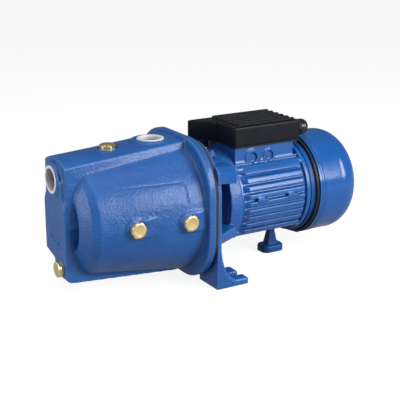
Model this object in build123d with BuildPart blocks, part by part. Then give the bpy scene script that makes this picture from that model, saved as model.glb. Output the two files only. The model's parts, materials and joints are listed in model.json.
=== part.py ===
from build123d import *
import os
from math import cos, radians, sin

# Shallow well jet pump: cast iron wet end, bracket with feet, fan cooled motor.
# Row frame: X along the shaft from the suction port to the fan, Z up, and the
# origin on the base plane, midway between the two open foot slots.

# ---------------------------------------------------------------- driving sizes
SHAFT_Z = 94.0            # shaft height above the base plane
SUCTION_X = -214.0        # face of the suction port
SUCTION_Z = 148.0         # height of the suction port axis
DISCHARGE_X = -80.0       # axis of the discharge port
DISCHARGE_Z = 182.0       # face of the discharge port
PORT_R = 15.15            # minor radius of the pipe thread in both ports
CASING_BACK_X = -39.0     # joint face of the pump casing
FLANGE_T = 10.0
FLANGE_HALF = 94.0        # half width of the casing flange
FLANGE_TOP = 186.0
FLANGE_BOTTOM = 5.0
FLANGE_CORNER = 66.0
WALL = 7.0                # wall of the cast barrel
BARREL_R_BACK = 86.0      # barrel radius at the flange
BARREL_R_FRONT = 70.5     # barrel radius where the front dome starts
BARREL_FRONT_X = -183.0
COLUMN_HALF = 31.2        # half width of the front column and of the top deck
BRACKET_X = -36.0         # front face of the bracket plate
BRACKET_T = 6.5
BRACKET_HALF = 90.8
FOOT_END_X = 10.6
FOOT_T = 9.0
FOOT_INNER_Y = 45.0
FOOT_SLOT_Y = 70.0        # foot slots lie at plus and minus this
FOOT_SLOT_R = 5.5
HOUSING_X0 = 20.0         # motor housing, front and rear ends
HOUSING_X1 = 126.0
HOUSING_R = 59.5
FIN_R = 64.5
FIN_PITCH = 10.1
FIN_T = 6.0
FIN_END_X = 118.5         # rear end of the fins
STATOR_R = 55.0
STATOR_BORE = 31.3
CORE_X0 = 42.0
CORE_X1 = 107.0
SHELF_HALF = 36.0         # terminal pad on top of the housing
PAD_FOOT_Z = 144.6
KNOCK_OUT_Z = 148.3
SHELF_Z = 163.4
COVER_X0 = 137.4          # fan cover
COVER_X1 = 211.0
COVER_R = 70.2
COVER_T = 1.5
BOX_X0 = 20.3             # terminal box
BOX_X1 = 122.6
BOX_NEAR_Y = -39.7
BOX_FAR_Y = 35.8
BOX_BAY_X = -6.4          # capacitor bay, in front of the box on its far side
BOX_BAY_Y = 10.0          # the bay's slanting wall starts here
BOX_SEAM_Z = 165.6
BAY_Z = 154.5
BOX_TOP_Z = 190.6
BOX_WALL = 2.4
FIT = 0.03                # radial running clearance
PLUG_THREAD_R = 7.4       # drain, priming and side plugs
PLUG_AF = 19.0
ROD_CIRCLE = 59.0         # radius of the four tie rods
BALLS = 8

SHAFT = Axis((0, 0, SHAFT_Z), (1, 0, 0))
os.makedirs("parts", exist_ok=True)


def save(part, label):
    """Label a finished piece and write its STEP file."""
    part.label = label
    export_step(part, f"parts/{label}.step")


def turned(*points, centre_z=SHAFT_Z):
    """Solid of revolution about an X axis from (x, radius) points."""
    with BuildPart() as made:
        with BuildSketch(Plane.XZ):
            with BuildLine():
                Polyline(*[(x, centre_z + r) for x, r in points], close=True)
            make_face()
        revolve(axis=Axis((0, 0, centre_z), (1, 0, 0)))
    return made.part


def tube(x0, x1, r0, r1, y=0.0, z=SHAFT_Z):
    """Ring along X between two radii, or a rod when r0 is zero."""
    with BuildPart() as made:
        with BuildSketch(Plane.YZ.offset(x0)):
            with Locations((y, z)):
                Circle(r1)
                if r0 > 0:
                    Circle(r0, mode=Mode.SUBTRACT)
        extrude(amount=x1 - x0)
    return made.part


def slab(x0, x1, y0, y1, z0, z1):
    """Block between two corners."""
    with BuildPart() as made:
        with BuildSketch(Plane.XY.offset(z0)):
            with Locations(((x0 + x1) / 2, (y0 + y1) / 2)):
                Rectangle(x1 - x0, y1 - y0)
        extrude(amount=z1 - z0)
    return made.part


def around(count, radius, start=0.0):
    """Points (y, z) evenly spaced on a circle about the shaft."""
    angles = [radians(start + 360 * i / count) for i in range(count)]
    return [(radius * cos(a), SHAFT_Z + radius * sin(a)) for a in angles]


def barrel_radius(x):
    """Outside radius of the conical barrel at a station."""
    share = (x - BARREL_FRONT_X) / (CASING_BACK_X - FLANGE_T - BARREL_FRONT_X)
    return BARREL_R_FRONT + share * (BARREL_R_BACK - BARREL_R_FRONT)


def hex_plug(plane, head, length, washer):
    """Hexagon plug seated on a plane, with its thread pointing into it."""
    with BuildPart() as made:
        with BuildSketch(plane.offset(washer)):
            RegularPolygon(PLUG_AF / 2, 6, major_radius=False)
        extrude(amount=head)
        with BuildSketch(plane.offset(washer)):
            Circle(PLUG_AF / 2 + 0.55)
        extrude(amount=head, mode=Mode.INTERSECT)
        chamfer(made.edges().filter_by(GeomType.CIRCLE).group_by(lambda e: plane.to_local_coords(
            e.center()).Z)[-1], 0.8)
        with BuildSketch(plane.offset(-length)):
            Circle(PLUG_THREAD_R)
        extrude(amount=length + washer)
    return made.part


# ---------------------------------------------------------------- pump casing
FLANGE_X = CASING_BACK_X - FLANGE_T
SIDE_PLUGS = [(-138.6, -76.5, 94.0), (-71.7, -84.9, 94.0)]    # (x, y, z) of the side plugs' faces
SPOT_R = 12.2
PRIMING_X = -139.0
PRIMING_Z = 176.0        # spot face of the priming plug, sunk into the deck
DRAIN_Y = -14.0
DRAIN_Z = 38.5
CAVITY_X = -166.0
CAVITY_R_BACK = 80.0
CHAMBER_X0 = -192.0
CHAMBER_X1 = -172.0
FEED_X = -203.0

BOLT_FLOOR = 2.5         # metal left in front of the blind bolt holes
BOLT_SPOTS = [(57, 166), (-57, 166), (74, 38), (-74, 38)]    # (y, z) of the casing bolts

with BuildPart() as pump_casing:
    # conical barrel, front dome with its rolled lip and the recess inside it
    add(turned(
        (CASING_BACK_X, 0), (CASING_BACK_X, BARREL_R_BACK), (FLANGE_X, BARREL_R_BACK),
        (BARREL_FRONT_X, BARREL_R_FRONT), (-191, 65), (-198.5, 52), (-200.5, 46.5), (-199, 44),
        (-192, 40), (-192, 0)))
    # joint flange, a square with very round corners
    with BuildSketch(Plane.YZ.offset(FLANGE_X)):
        with Locations((0, (FLANGE_TOP + FLANGE_BOTTOM) / 2)):
            RectangleRounded(2 * FLANGE_HALF, FLANGE_TOP - FLANGE_BOTTOM, FLANGE_CORNER)
    extrude(amount=FLANGE_T)
    # top deck: arched roof whose sides lean out towards the flange
    with BuildSketch(Plane.YZ.offset(-209)):
        with BuildLine():
            ThreePointArc((COLUMN_HALF, 166.8), (0, 174.8), (-COLUMN_HALF, 166.8))
            Polyline((-COLUMN_HALF, 166.8), (-COLUMN_HALF, 92), (COLUMN_HALF, 92), (COLUMN_HALF, 166.8))
        make_face()
    with BuildSketch(Plane.YZ.offset(FLANGE_X + 1)):
        with BuildLine():
            ThreePointArc((COLUMN_HALF, 181.6), (0, 183.4), (-COLUMN_HALF, 181.6))
            Polyline((-COLUMN_HALF, 181.6), (-69, 92), (69, 92), (COLUMN_HALF, 181.6))
        make_face()
    loft(ruled=True)
    # front column with the drain block at its foot
    with BuildSketch(Plane.YZ.offset(-212)):
        with BuildLine():
            Polyline(
                (-COLUMN_HALF, 24.5), (-8, 24.5), (5, 35), (5, 46.5), (COLUMN_HALF, 53), (COLUMN_HALF, 118),
                (25, 128), (25, 150), (-25, 150), (-25, 128), (-COLUMN_HALF, 118), close=True)
        make_face()
    extrude(amount=26)
    # keel that joins the drain block to the barrel
    with BuildSketch(Plane.XZ.offset(-5)):
        with BuildLine():
            Polyline((-212, 24.5), (-208, 23.6), (-60, 13), (-60, 60), (-212, 60), close=True)
        make_face()
    extrude(amount=COLUMN_HALF + 5)
    # rounded toe of the drain block
    with BuildSketch(Plane.XZ.offset(-50)):
        with BuildLine():
            Polyline((-212, 32), (-214, 32), (-214, 22), (-204, 22), (-204, 23.6))
            ThreePointArc((-204, 23.6), (-209.8, 26), (-212, 32))
        make_face()
    extrude(amount=100, mode=Mode.SUBTRACT)
    # suction boss with a relief groove behind its front ring
    add(turned((SUCTION_X, 0), (SUCTION_X, 20.3), (-212.8, 21.6), (-210.5, 21.6), (-210.5, 20),
               (-208.5, 20), (-208.5, 24), (-206, 25.5), (-186, 25.5), (-186, 0), centre_z=SUCTION_Z))
    # discharge boss
    with BuildSketch(Plane.XY.offset(150)):
        with Locations((DISCHARGE_X, 0)):
            Circle(25)
    extrude(amount=DISCHARGE_Z - 150)
    with BuildSketch(Plane.XY.offset(DISCHARGE_Z)):
        with Locations((DISCHARGE_X, 0)):
            Circle(19.5)
    extrude(amount=10, mode=Mode.SUBTRACT)
    # bosses and pads of the side plugs
    for plug_x, plug_y, plug_z in SIDE_PLUGS:
        with BuildSketch(Plane.XZ.offset(60)):
            with Locations((plug_x, plug_z)):
                Circle(13)
        extrude(amount=-plug_y - 60)
    with BuildSketch(Plane.XZ.offset(60)):
        with Locations((-60, 94)):
            Rectangle(24, 25)
    extrude(amount=85.9 - 60)
    with BuildSketch(Plane.XZ.offset(60)):
        with Locations((-123, 94)):
            Rectangle(34, 22)
    extrude(amount=78.2 - 60)
    # spot faces of the side plugs
    for plug_x, plug_y, plug_z in SIDE_PLUGS:
        with BuildSketch(Plane.XZ.offset(-plug_y)):
            with Locations((plug_x, plug_z)):
                Circle(SPOT_R)
        extrude(amount=8, mode=Mode.SUBTRACT)
    # spot face of the priming plug, with metal for its thread underneath
    with BuildSketch(Plane.XY.offset(PRIMING_Z)):
        with Locations((PRIMING_X, 0)):
            Circle(SPOT_R)
    extrude(amount=10, mode=Mode.SUBTRACT)
    # water space behind the bulkhead, open at the joint face
    add(turned((CASING_BACK_X, 0), (CASING_BACK_X, CAVITY_R_BACK), (CAVITY_X, barrel_radius(CAVITY_X) - WALL),
               (CAVITY_X, 0)), mode=Mode.SUBTRACT)
    # seat of the seal ring in the joint face
    add(tube(CASING_BACK_X - 2.5, CASING_BACK_X, 82.0, 85.0), mode=Mode.SUBTRACT)
    # solid collars inside for the discharge and side threads
    with BuildSketch(Plane.XY.offset(160)):
        with Locations((DISCHARGE_X, 0)):
            Circle(21)
        with Locations((PRIMING_X, 0)):
            Circle(SPOT_R)
    extrude(amount=PRIMING_Z - 160)
    # suction chamber in the front column, and the bulkhead bore
    add(slab(CHAMBER_X0, CHAMBER_X1, -18, 18, 72, SUCTION_Z + 16), mode=Mode.SUBTRACT)
    add(tube(SUCTION_X, CHAMBER_X0 + 1, 0, PORT_R, z=SUCTION_Z), mode=Mode.SUBTRACT)
    add(tube(CHAMBER_X1 - 1, CAVITY_X + 1, 0, 12.1), mode=Mode.SUBTRACT)
    # feed passage: drain bore, riser and the nozzle seat
    add(tube(SUCTION_X, CAVITY_X + 4, 0, PLUG_THREAD_R, y=DRAIN_Y, z=DRAIN_Z), mode=Mode.SUBTRACT)
    with BuildSketch(Plane.XY.offset(DRAIN_Z)):
        with Locations((FEED_X, -8)):
            Circle(5)
    extrude(amount=SHAFT_Z - DRAIN_Z + 4, mode=Mode.SUBTRACT)
    add(tube(FEED_X, CHAMBER_X0 + 1, 0, 8.0), mode=Mode.SUBTRACT)
    # discharge, priming and side bores
    with BuildSketch(Plane.XY.offset(150)):
        with Locations((DISCHARGE_X, 0)):
            Circle(PORT_R)
        with Locations((PRIMING_X, 0)):
            Circle(PLUG_THREAD_R)
    extrude(amount=50, mode=Mode.SUBTRACT)
    for plug_x, plug_y, plug_z in SIDE_PLUGS:
        with BuildSketch(Plane.XZ.offset(60)):
            with Locations((plug_x, plug_z)):
                Circle(PLUG_THREAD_R)
        extrude(amount=40, mode=Mode.SUBTRACT)
    # tapped holes of the four casing bolts
    with BuildSketch(Plane.YZ.offset(FLANGE_X + BOLT_FLOOR)):
        with Locations(*BOLT_SPOTS):
            Circle(4.0)
    extrude(amount=FLANGE_T - BOLT_FLOOR, mode=Mode.SUBTRACT)
    # cast flow arrow on the front face
    with BuildSketch(Plane.YZ.offset(-212)):
        with Locations(Location((6, 74), -35)):
            Rectangle(2.4, 26)
        with Locations(Location((-1, 64), -35)):
            Triangle(c=9, a=8, b=8, rotation=180)
    extrude(amount=-1.0)
save(pump_casing.part, "pump_casing")

# ---------------------------------------------------------------- port caps and plugs
CAP_FLANGE_R = 17.2
CAP_SKIRT_R = 15.0
CAP_INNER_R = 13.9
CAP_DEPTH = 13.0

with BuildPart() as suction_cap:
    add(turned((SUCTION_X - 1.3, CAP_INNER_R), (SUCTION_X - 1.3, CAP_FLANGE_R), (SUCTION_X, CAP_FLANGE_R),
               (SUCTION_X, CAP_SKIRT_R), (SUCTION_X + CAP_DEPTH, CAP_SKIRT_R), (SUCTION_X + CAP_DEPTH, 0),
               (SUCTION_X + CAP_DEPTH - 1.5, 0), (SUCTION_X + CAP_DEPTH - 1.5, CAP_INNER_R - 0.4),
               centre_z=SUCTION_Z))
save(suction_cap.part, "suction_cap")

with BuildPart() as discharge_cap:
    with BuildSketch(Plane.XZ):
        with BuildLine():
            top = DISCHARGE_Z
            Polyline(*[(DISCHARGE_X + r, z) for r, z in (
                (CAP_INNER_R, top + 1.3), (CAP_FLANGE_R, top + 1.3), (CAP_FLANGE_R, top), (CAP_SKIRT_R, top),
                (CAP_SKIRT_R, top - CAP_DEPTH), (0, top - CAP_DEPTH), (0, top - CAP_DEPTH + 1.5),
                (CAP_INNER_R - 0.4, top - CAP_DEPTH + 1.5))], close=True)
        make_face()
    revolve(axis=Axis((DISCHARGE_X, 0, 0), (0, 0, 1)))
save(discharge_cap.part, "discharge_cap")

WASHER_T = 1.2
PLUG_PLANES = {
    "priming_plug": Plane((PRIMING_X, 0, PRIMING_Z), x_dir=(1, 0, 0), z_dir=(0, 0, 1)),
    "drain_plug": Plane((-212, DRAIN_Y, DRAIN_Z), x_dir=(0, 1, 0), z_dir=(-1, 0, 0)),
}
for plug_name, plug_plane in PLUG_PLANES.items():
    with BuildPart() as plug:
        add(hex_plug(plug_plane, 5.2, 11, WASHER_T))
    save(plug.part, plug_name)

SIDE_PLANES = [Plane(spot, x_dir=(1, 0, 0), z_dir=(0, -1, 0)) for spot in SIDE_PLUGS]
with BuildPart() as side_plugs:
    for side_plane in SIDE_PLANES:
        add(hex_plug(side_plane, 4.6, 12, WASHER_T))
save(side_plugs.part, "side_plugs")

with BuildPart() as plug_washers:
    for washer_plane in [*PLUG_PLANES.values(), *SIDE_PLANES]:
        with BuildSketch(washer_plane):
            Circle(9.6)
            Circle(PLUG_THREAD_R, mode=Mode.SUBTRACT)
        extrude(amount=WASHER_T)
save(plug_washers.part, "plug_washers")

# ---------------------------------------------------------------- ejector and diffuser
with BuildPart() as ejector_nozzle:
    add(turned((-197, 3.4), (-197, 8.0), (-191.5, 8.0), (-191.5, 9.5), (-188.5, 9.5), (-188.5, 7.5),
               (-178, 4.6), (-178, 3.0), (-184, 3.4)))
save(ejector_nozzle.part, "ejector_nozzle")

NECK_X = -84.0
with BuildPart() as venturi_tube:
    add(turned((-171.5, 9.0), (-171.5, 12.0), (-169.8, 12.0), (-169.8, 10.4), (-167.4, 10.4),
               (-167.4, 12.0), (-164.9, 12.0), (-164.9, 14.5), (-158, 14.5), (-130, 9.5), (NECK_X, 14.0),
               (NECK_X, 10.6), (-138, 5.4), (-158, 5.4)))
save(venturi_tube.part, "venturi_tube")

with BuildPart() as venturi_o_ring:
    add(tube(-169.7, -167.5, 10.4, 12.05))
save(venturi_o_ring.part, "venturi_o_ring")

DIFFUSER_R = 64.0
with BuildPart() as diffuser:
    add(turned((-90, 14.05), (-90, 18), (-80, 18), (-80, DIFFUSER_R), (CASING_BACK_X, DIFFUSER_R),
               (CASING_BACK_X, DIFFUSER_R - 3), (-76, DIFFUSER_R - 3), (-76, 16), (-83.5, 16), (-83.5, 14.05)))
    # return windows round the rim
    with BuildSketch(Plane.YZ.offset(-56)):
        with Locations(*around(8, DIFFUSER_R)):
            Circle(9)
    extrude(amount=12, mode=Mode.SUBTRACT)
    # guide vanes
    for i in range(8):
        y, z = around(8, DIFFUSER_R - 8, 22.5)[i]
        with BuildSketch(Plane.YZ.offset(-76)):
            with Locations(Location((y, z), 22.5 + 45 * i + 35)):
                Rectangle(9, 2)
        extrude(amount=12)
save(diffuser.part, "diffuser")

# ---------------------------------------------------------------- impeller, seal and shaft
IMPELLER_R = 50.0
with BuildPart() as impeller:
    add(turned((-75, 13.8), (-75, 15.4), (-68, 16.5), (-66, 20), (-66, IMPELLER_R), (-64, IMPELLER_R),
               (-64, 18.5), (-67, 14.5)))
    add(turned((-68, 7), (-68, 12), (-60, 15), (-58, IMPELLER_R), (-56, IMPELLER_R), (-56, 13), (-50, 13),
               (-50, 7)))
    for i in range(6):
        with BuildSketch(Plane.YZ.offset(-64.5)):
            with BuildLine():
                inner = around(6, 21)[i]
                middle = around(6, 38, 34)[i]
                outer = around(6, IMPELLER_R - 1, 60)[i]
                blade = ThreePointArc(inner, middle, outer)
            trace(blade, 2.2)
        extrude(amount=6.7)
save(impeller.part, "impeller")

with BuildPart() as impeller_nut:
    with BuildSketch(Plane.YZ.offset(-75)):
        with Locations((0, SHAFT_Z)):
            RegularPolygon(6.5, 6, major_radius=False)
            Circle(4.0, mode=Mode.SUBTRACT)
    extrude(amount=6.9)
save(impeller_nut.part, "impeller_nut")

with BuildPart() as seal_carbon_ring:
    add(tube(-43.0, CASING_BACK_X - 0.03, 9.2, 13.5))
save(seal_carbon_ring.part, "seal_carbon_ring")

with BuildPart() as seal_bellows:
    add(turned((-50, 8), (-50, 12.5), (-48.5, 12.5), (-48.5, 10), (-46, 10), (-46, 14.5), (-41.5, 14.5),
               (-41.5, 13.55), (-43.05, 13.55), (-43.05, 8)))
save(seal_bellows.part, "seal_bellows")

with BuildPart() as seal_seat:
    add(tube(CASING_BACK_X, -33.5, 9.2, 14.0))
save(seal_seat.part, "seal_seat")

with BuildPart() as seal_seat_cup:
    add(turned((-38, 14.0), (-38, 16.5), (-31.5, 16.5), (-31.5, 10.0), (-33.5, 10.0), (-33.5, 14.0)))
save(seal_seat_cup.part, "seal_seat_cup")

with BuildPart() as back_plate:
    add(turned((CASING_BACK_X, 16.5), (CASING_BACK_X, 86), (BRACKET_X, 86), (BRACKET_X, 20), (-31, 20),
               (-31, 16.5)))
save(back_plate.part, "back_plate")

with BuildPart() as casing_o_ring:
    add(tube(CASING_BACK_X - 2.4, CASING_BACK_X, 82.1, 83.9))
save(casing_o_ring.part, "casing_o_ring")

with BuildPart() as shaft:
    add(turned((-77, 0), (-77, 4.0), (-68, 4.0), (-68, 7), (-50, 7), (-50, 8), (-16, 8), (-16, 8.5), (0, 8.5),
               (0, 11), (6, 11), (6, 10), (126, 10), (131, 9.5), (131, 7.5), (143, 7.5), (143, 7), (176, 7),
               (176, 0)))
save(shaft.part, "shaft")

with BuildPart() as water_slinger:
    add(turned((-24, 8), (-24, 22), (-22, 22), (-20.5, 12), (-19, 12), (-19, 8)))
save(water_slinger.part, "water_slinger")

# ---------------------------------------------------------------- bearings
BEARINGS = {"front": (-12.0, 0.0, 8.5, 20.0), "rear": (131.0, 142.0, 7.5, 17.5)}
for end, (x0, x1, bore, rim) in BEARINGS.items():
    pitch = (bore + rim) / 2
    ball_r = (rim - bore) * 0.26
    middle = (x0 + x1) / 2
    land = (rim - bore) * 0.34
    with BuildPart() as inner_ring:
        add(tube(x0, x1, bore, bore + land))
        with BuildSketch(Plane.XZ):
            with Locations((middle, SHAFT_Z + pitch)):
                Circle(ball_r + FIT)
        revolve(axis=SHAFT, mode=Mode.SUBTRACT)
    save(inner_ring.part, f"{end}_bearing_inner_ring")
    with BuildPart() as outer_ring:
        add(tube(x0, x1, rim - land, rim))
        with BuildSketch(Plane.XZ):
            with Locations((middle, SHAFT_Z + pitch)):
                Circle(ball_r + FIT)
        revolve(axis=SHAFT, mode=Mode.SUBTRACT)
    save(outer_ring.part, f"{end}_bearing_outer_ring")
    with BuildPart() as ball_set:
        for y, z in around(BALLS, pitch):
            with Locations((middle, y, z)):
                Sphere(ball_r)
    save(ball_set.part, f"{end}_bearing_balls")

# ---------------------------------------------------------------- bracket with feet
RING_X0 = 3.0
RING_R0 = 52.0
RING_R1 = 61.0
HUB_R = 27.0
# (y, z) corners of the arms' ends, at the plate and at the ring
UPPER_ARM = (
    [(58, 137.2), (90.6, 137.2), (90.6, 151), (83.5, 158), (58, 158)],
    [(38, 126), (65, 126), (65, 141), (58, 148), (38, 148)],
)
LOWER_ARM = (
    [(60, 55), (84, 55), (90.6, 61.5), (90.6, 71), (60, 71)],
    [(40, 51.5), (57, 51.5), (64.5, 59), (64.5, 69), (40, 69)],
)
ROOF = (
    [(-56, 150), (-44, 157), (0, 162), (44, 157), (56, 150), (50, 144), (0, 154), (-50, 144)],
    [(-45, 144), (-36, 149), (0, 155), (36, 149), (45, 144), (40, 138), (0, 149), (-40, 138)],
)
with BuildPart() as motor_bracket:
    # plate, the same outline as the casing flange but with straight legs
    with BuildSketch(Plane.YZ.offset(BRACKET_X)):
        with Locations((0, (FLANGE_TOP - 6 + 14) / 2)):
            RectangleRounded(2 * BRACKET_HALF, FLANGE_TOP - 6 - 14, 62)
        with Locations((BRACKET_HALF - 16, 50), (-BRACKET_HALF + 16, 50)):
            Rectangle(32, 100)
        with Locations((0, SHAFT_Z)):
            Circle(46, mode=Mode.SUBTRACT)
    extrude(amount=BRACKET_T)
    # legs: an L section with a hollow curve between the plate and the foot
    for side in (-1, 1):
        with BuildSketch(Plane.XZ.offset(-side * BRACKET_HALF)):
            with BuildLine():
                Polyline((-8, FOOT_T), (FOOT_END_X, FOOT_T), (FOOT_END_X, 0), (BRACKET_X, 0),
                         (BRACKET_X, 64), (BRACKET_X + BRACKET_T, 64))
                Spline((BRACKET_X + BRACKET_T, 64), (-25.0, 30), (-8, FOOT_T),
                       tangents=[(0, -1), (1, -0.35)])
            make_face()
        extrude(amount=side * (BRACKET_HALF - FOOT_INNER_Y))
    # rear ring, its web and the bearing hub
    add(tube(RING_X0, HOUSING_X0, RING_R0, RING_R1))
    add(tube(RING_X0, RING_X0 + 5, HUB_R - 1, RING_R0 + 1))
    add(tube(-16, RING_X0 + 5, 12, HUB_R))
    for y, z in around(4, ROD_CIRCLE, 45):
        add(tube(RING_X0, HOUSING_X0, 0, 6.5, y=y, z=z))
    # four arms from the edges of the plate to the ring; the upper ones have a broad bevel
    for side_y in (-1, 1):
        for at_plate, at_ring in (UPPER_ARM, LOWER_ARM):
            with BuildSketch(Plane.YZ.offset(BRACKET_X + 1)):
                with BuildLine():
                    Polyline(*[(side_y * y, z) for y, z in at_plate], close=True)
                make_face()
            with BuildSketch(Plane.YZ.offset(RING_X0 + 5)):
                with BuildLine():
                    Polyline(*[(side_y * y, z) for y, z in at_ring], close=True)
                make_face()
            loft(ruled=True)
    # roof between the upper arms
    with BuildSketch(Plane.YZ.offset(BRACKET_X + 1)):
        with BuildLine():
            Polyline(*ROOF[0], close=True)
        make_face()
    with BuildSketch(Plane.YZ.offset(RING_X0 + 5)):
        with BuildLine():
            Polyline(*ROOF[1], close=True)
        make_face()
    loft(ruled=True)
    add(tube(-12, 0.5, 0, 20.0), mode=Mode.SUBTRACT)
    add(tube(-40, -12, 0, 14.0), mode=Mode.SUBTRACT)
    add(tube(RING_X0 + 5, HOUSING_X0, 0, RING_R0), mode=Mode.SUBTRACT)
    for y, z in around(4, ROD_CIRCLE, 45):
        add(tube(HOUSING_X0 - 12, HOUSING_X0, 0, 2.5, y=y, z=z), mode=Mode.SUBTRACT)
    with BuildSketch(Plane.YZ.offset(BRACKET_X)):
        with Locations(*BOLT_SPOTS):
            Circle(4.5)
    extrude(amount=BRACKET_T, mode=Mode.SUBTRACT)
    with BuildSketch(Plane.YZ.offset(BRACKET_X + BRACKET_T)):
        with Locations(*BOLT_SPOTS):
            Circle(8.6)
    extrude(amount=26, mode=Mode.SUBTRACT)
    # open foot slots
    for slot_y in (-FOOT_SLOT_Y, FOOT_SLOT_Y):
        with BuildSketch(Plane.XY.offset(-1)):
            with Locations((0, slot_y)):
                Circle(FOOT_SLOT_R)
            with Locations((FOOT_END_X / 2 + 1, slot_y)):
                Rectangle(FOOT_END_X + 2, 2 * FOOT_SLOT_R)
        extrude(amount=40, mode=Mode.SUBTRACT)
save(motor_bracket.part, "motor_bracket")

with BuildPart() as casing_bolts:
    for y, z in BOLT_SPOTS:
        with BuildSketch(Plane.YZ.offset(BRACKET_X + BRACKET_T)):
            with Locations((y, z)):
                RegularPolygon(6.5, 6, major_radius=False)
        extrude(amount=5.3)
        add(tube(FLANGE_X + BOLT_FLOOR + 0.5, BRACKET_X + BRACKET_T, 0, 4.0, y=y, z=z))
save(casing_bolts.part, "casing_bolts")

# ---------------------------------------------------------------- motor
with BuildPart() as motor_housing:
    add(tube(HOUSING_X0, HOUSING_X1, 0, HOUSING_R))
    # level cooling fins, trimmed to a drum with bevelled ends
    with BuildPart(mode=Mode.PRIVATE) as fins:
        for k in range(-4, 5):
            add(slab(HOUSING_X0 + 3, FIN_END_X, -70, 70, SHAFT_Z + k * FIN_PITCH - FIN_T / 2,
                     SHAFT_Z + k * FIN_PITCH + FIN_T / 2))
        add(turned((HOUSING_X0 + 3, 0), (HOUSING_X0 + 3, HOUSING_R), (HOUSING_X0 + 10, FIN_R),
                   (FIN_END_X - 3, FIN_R), (FIN_END_X, HOUSING_R + 1), (FIN_END_X, 0)),
            mode=Mode.INTERSECT)
    add(fins.part)
    add(turned((HOUSING_X1 - 6, 0), (HOUSING_X1 - 6, FIN_R - 0.5), (HOUSING_X1, FIN_R - 0.5), (HOUSING_X1, 0)))
    # terminal pad on a wider foot that meets the top fins
    add(slab(HOUSING_X0 + 3, HOUSING_X1 - 12, -SHELF_HALF, SHELF_HALF, SHAFT_Z + 30, SHELF_Z))
    add(slab(HOUSING_X0 + 3, HOUSING_X1, -SHELF_HALF - 1.2, SHELF_HALF + 1.2, SHAFT_Z + 40, PAD_FOOT_Z))
    # cable knock-outs in the side of the pad
    for boss_x, boss_r, hole_r in ((49.7, 11.4, 6.8), (75.1, 8.4, 6.8)):
        with BuildSketch(Plane.XZ.offset(SHELF_HALF - 4)):
            with Locations((boss_x, KNOCK_OUT_Z)):
                Circle(boss_r)
        extrude(amount=5.6)
        with BuildSketch(Plane.XZ.offset(SHELF_HALF - 1.5)):
            with Locations((boss_x, KNOCK_OUT_Z)):
                Circle(hole_r)
        extrude(amount=4, mode=Mode.SUBTRACT)
    # two bosses with a long tail on the near side
    for tail_x in (44.0, 91.5):
        with BuildSketch(Plane.XZ.offset(HOUSING_R - 3)):
            with Locations((tail_x, 98.4)):
                Circle(3.4)
            with BuildLine():
                Polyline((tail_x, 101.8), (tail_x + 14, 98.4), (tail_x, 95.0), close=True)
            make_face()
        extrude(amount=FIN_R - HOUSING_R + 4.2)
    # bosses of the tie rods and of the rear foot
    for y, z in around(4, ROD_CIRCLE, 45):
        add(tube(HOUSING_X0, HOUSING_X1, 0, 5.2, y=y, z=z))
    add(slab(101, 111, -5, 5, 30, 44))
    add(tube(HOUSING_X0, HOUSING_X1, 0, STATOR_R), mode=Mode.SUBTRACT)
    for y, z in around(4, ROD_CIRCLE, 45):
        add(tube(HOUSING_X0, HOUSING_X1, 0, 2.7, y=y, z=z), mode=Mode.SUBTRACT)
    # cable passage up into the terminal box
    add(slab(64, 84, -8, 8, SHAFT_Z + 40, SHELF_Z), mode=Mode.SUBTRACT)
save(motor_housing.part, "motor_housing")

with BuildPart() as stator_core:
    with BuildSketch(Plane.YZ.offset(CORE_X0)):
        with Locations((0, SHAFT_Z)):
            Circle(STATOR_R)
            Circle(STATOR_BORE, mode=Mode.SUBTRACT)
        with Locations(*[Location((y, z), 15 * i) for i, (y, z) in enumerate(around(24, 39.5))]):
            Rectangle(11, 4.4, mode=Mode.SUBTRACT)
    extrude(amount=CORE_X1 - CORE_X0)
save(stator_core.part, "stator_core")

with BuildPart() as stator_windings:
    add(tube(CORE_X0 - 14, CORE_X0, 34.4, 46))
    add(tube(CORE_X1, CORE_X1 + 14, 34.4, 46))
    with BuildSketch(Plane.YZ.offset(CORE_X0)):
        with Locations(*[Location((y, z), 15 * i) for i, (y, z) in enumerate(around(24, 39.5))]):
            Rectangle(10, 4.2)
    extrude(amount=CORE_X1 - CORE_X0)
save(stator_windings.part, "stator_windings")

with BuildPart() as rotor:
    add(tube(CORE_X0, CORE_X1, 10, STATOR_BORE - 0.4))
    add(tube(CORE_X0 - 7, CORE_X0, 18, STATOR_BORE - 1.5))
    add(tube(CORE_X1, CORE_X1 + 7, 18, STATOR_BORE - 1.5))
save(rotor.part, "rotor")

SHIELD_R = 65.2
RING_X = 132.9            # front face of the black ring that carries the fan cover
with BuildPart() as rear_shield:
    add(turned((HOUSING_X1, 16), (HOUSING_X1, SHIELD_R), (RING_X - 0.05, SHIELD_R), (RING_X - 0.05, SHIELD_R - 1.4),
               (HOUSING_X1 + 4.5, SHIELD_R - 1.4), (HOUSING_X1 + 4.5, 22), (143, 22), (143, 17.5), (131, 17.5),
               (131, 16)))
    for y, z in around(4, ROD_CIRCLE, 45):
        add(tube(HOUSING_X1, HOUSING_X1 + 4.5, 0, 2.7, y=y, z=z), mode=Mode.SUBTRACT)
save(rear_shield.part, "rear_shield")

with BuildPart() as wave_washer:
    add(tube(142.0, 142.6, 13.5, 17.4))
save(wave_washer.part, "wave_washer")

with BuildPart() as tie_rods:
    for y, z in around(4, ROD_CIRCLE, 45):
        add(tube(HOUSING_X0 - 10, HOUSING_X1 + 4.5, 0, 2.5, y=y, z=z))
        with BuildSketch(Plane.YZ.offset(HOUSING_X1 + 4.5)):
            with Locations((y, z)):
                RegularPolygon(4.0, 6, major_radius=False)
        extrude(amount=3.5)
save(tie_rods.part, "tie_rods")

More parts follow.
